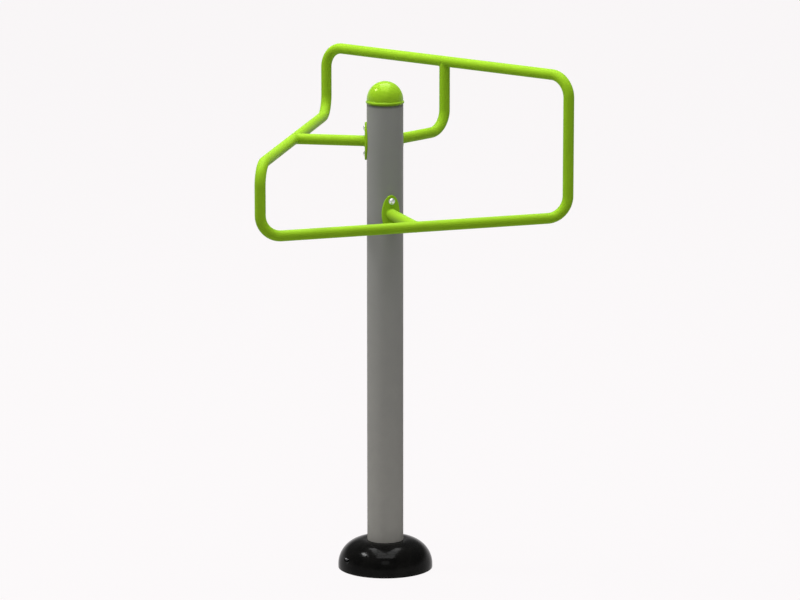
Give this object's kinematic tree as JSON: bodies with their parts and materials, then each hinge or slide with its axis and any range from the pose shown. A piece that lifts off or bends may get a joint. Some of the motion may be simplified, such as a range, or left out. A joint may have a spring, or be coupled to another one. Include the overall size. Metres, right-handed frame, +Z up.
{
  "type": "outdoor fitness station",
  "caption": "Outdoor stretching station: a round post with a triangular loop of bent tube that steps up from side to side, bolted arms, a domed cap and a domed foot cover.",
  "frame": {"origin": "on the post's axis, at the underside of the base flange, which is the ground", "axes": "+Z up along the post, +X along the low rail to the right seen from in front, and the low rail in front, at -Y"},
  "size_m": [1.0336, 0.8997, 1.6068],
  "materials": {
    "green_coat": "smooth glossy powder coat, lime green",
    "grey_coat": "satin powder coat, mid grey with a faint metallic fleck",
    "black_cover": "glossy moulded plastic, black",
    "bright_steel": "bright stainless steel"
  },
  "bodies": {
    "root": {"post": "grey_coat", "post_cap": "green_coat", "post_inserts": "bright_steel", "base_flange": "grey_coat", "gusset_1": "grey_coat", "gusset_2": "grey_coat", "gusset_3": "grey_coat", "gusset_4": "grey_coat", "cover_front": "black_cover", "cover_rear": "black_cover", "cover_screws": "bright_steel", "saddle_low": "green_coat", "saddle_mid": "green_coat", "saddle_high": "green_coat", "saddle_bolts": "bright_steel", "saddle_washers": "bright_steel", "arm_low": "green_coat", "arm_mid": "green_coat", "arm_high": "green_coat", "rail_low": "green_coat", "rail_mid": "green_coat", "rail_high": "green_coat"}
  },
  "joints": []
}
